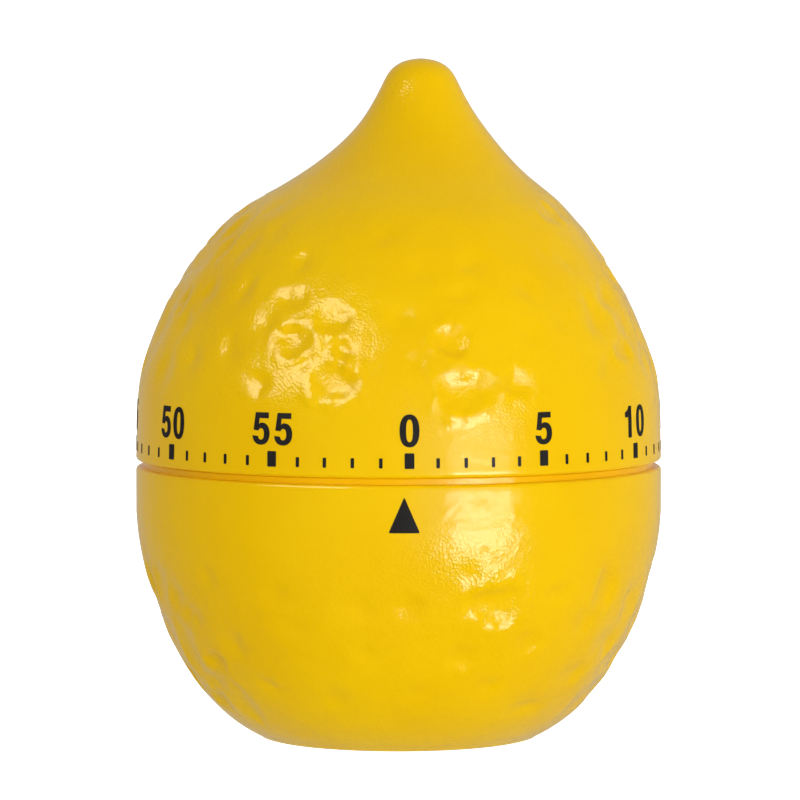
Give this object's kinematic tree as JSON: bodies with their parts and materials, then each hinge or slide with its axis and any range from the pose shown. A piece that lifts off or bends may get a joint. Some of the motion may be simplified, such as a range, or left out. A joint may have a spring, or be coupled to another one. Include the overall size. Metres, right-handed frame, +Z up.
{
  "type": "kitchen timer",
  "caption": "Lemon-shaped mechanical kitchen timer; the upper half is a dial that winds a clockwork movement with a bell in the lower half.",
  "frame": {"origin": "on the table, under the dial's axis, at the middle of the flat foot", "axes": "+Z up along the dial's axis; -Y is the front, where the body's pointer is; +X is the side the tip leans to"},
  "size_m": [0.062, 0.062, 0.0801],
  "materials": {
    "lemon_plastic": "glossy lemon yellow ABS with a fine peel grain",
    "cover_plastic": "satin lemon yellow ABS",
    "hub_plastic": "natural white acetal",
    "brass": "bright rolled brass",
    "plated_steel": "nickel plated steel",
    "spring_steel": "blued spring steel",
    "steel": "turned and stamped steel"
  },
  "bodies": {
    "case": {"lower_shell": "lemon_plastic", "base_cover": "cover_plastic", "base_cover_screws": "plated_steel", "movement_screws": "plated_steel", "bottom_plate": "brass", "top_plate": "brass", "plate_pillars": "brass", "pillar_nuts": "plated_steel", "stop_pin": "steel", "bell": "plated_steel", "bell_post": "steel", "bell_screw": "plated_steel", "mainspring": "spring_steel", "hairspring": "spring_steel", "hairspring_stud": "brass", "hammer_spring": "spring_steel"},
    "dial": {"upper_shell": "lemon_plastic", "dial_hub": "hub_plastic", "winding_arbor": "steel", "arbor_clip": "steel", "ratchet_wheel": "steel", "trip_finger": "steel", "stop_arm": "steel"},
    "great_wheel_set": {"great_wheel": "brass", "click_pin": "steel", "click_spring": "spring_steel"},
    "click_pawl": {"click": "steel"},
    "second_wheel_set": {"second_arbor": "steel", "second_wheel": "brass"},
    "third_wheel_set": {"third_arbor": "steel", "third_wheel": "brass"},
    "escape_wheel_set": {"escape_arbor": "steel", "escape_wheel": "brass"},
    "balance": {"balance_staff": "steel", "balance_wheel": "brass", "pallet_anchor": "steel", "hairspring_collet": "brass"},
    "hammer": {"hammer_arbor": "steel", "hammer_tail": "steel", "hammer_arm": "steel", "hammer_head": "brass"}
  },
  "joints": [
    {"name": "dial_turn", "type": "hinge", "parent": "case", "child": "dial", "pos_m": [0, 0, 0], "axis": [0, 0, -1], "range_deg": [0, 354], "stiffness_Nm_per_rad": 0.0065, "springref_deg": -171.89, "deforming": ["mainspring"]},
    {"name": "great_wheel_turn", "type": "hinge", "parent": "case", "child": "great_wheel_set", "pos_m": [0, 0, 0], "axis": [0, 0, -1], "range_deg": [0, 354]},
    {"name": "click_pivot", "type": "hinge", "parent": "great_wheel_set", "child": "click_pawl", "pos_m": [0.00903, -0.00289, 0], "axis": [0, 0, 1], "range_deg": [0, 12], "stiffness_Nm_per_rad": 0.00005, "springref_deg": -5.73, "deforming": ["click_spring"]},
    {"name": "second_wheel_turn", "type": "hinge", "parent": "case", "child": "second_wheel_set", "pos_m": [0.01079, 0.00905, 0], "axis": [0, 0, -1], "continuous": true},
    {"name": "third_wheel_turn", "type": "hinge", "parent": "case", "child": "third_wheel_set", "pos_m": [0.00304, 0.01459, 0], "axis": [0, 0, -1], "continuous": true},
    {"name": "escape_wheel_turn", "type": "hinge", "parent": "case", "child": "escape_wheel_set", "pos_m": [-0.00487, 0.01503, 0], "axis": [0, 0, -1], "continuous": true},
    {"name": "balance_swing", "type": "hinge", "parent": "case", "child": "balance", "pos_m": [-0.01134, 0.01294, 0], "axis": [0, 0, -1], "range_deg": [-7, 7], "stiffness_Nm_per_rad": 0.000002, "deforming": ["hairspring"]},
    {"name": "hammer_swing", "type": "hinge", "parent": "case", "child": "hammer", "pos_m": [0.01032, -0.01474, 0], "axis": [0, 0, -1], "range_deg": [-3, 16], "stiffness_Nm_per_rad": 0.0005, "deforming": ["hammer_spring"]}
  ],
  "couplings": [
    {"joint": "great_wheel_turn", "follows": "dial_turn", "ratio": 1},
    {"joint": "second_wheel_turn", "follows": "dial_turn", "ratio": -10},
    {"joint": "third_wheel_turn", "follows": "dial_turn", "ratio": 75},
    {"joint": "escape_wheel_turn", "follows": "dial_turn", "ratio": -600}
  ]
}
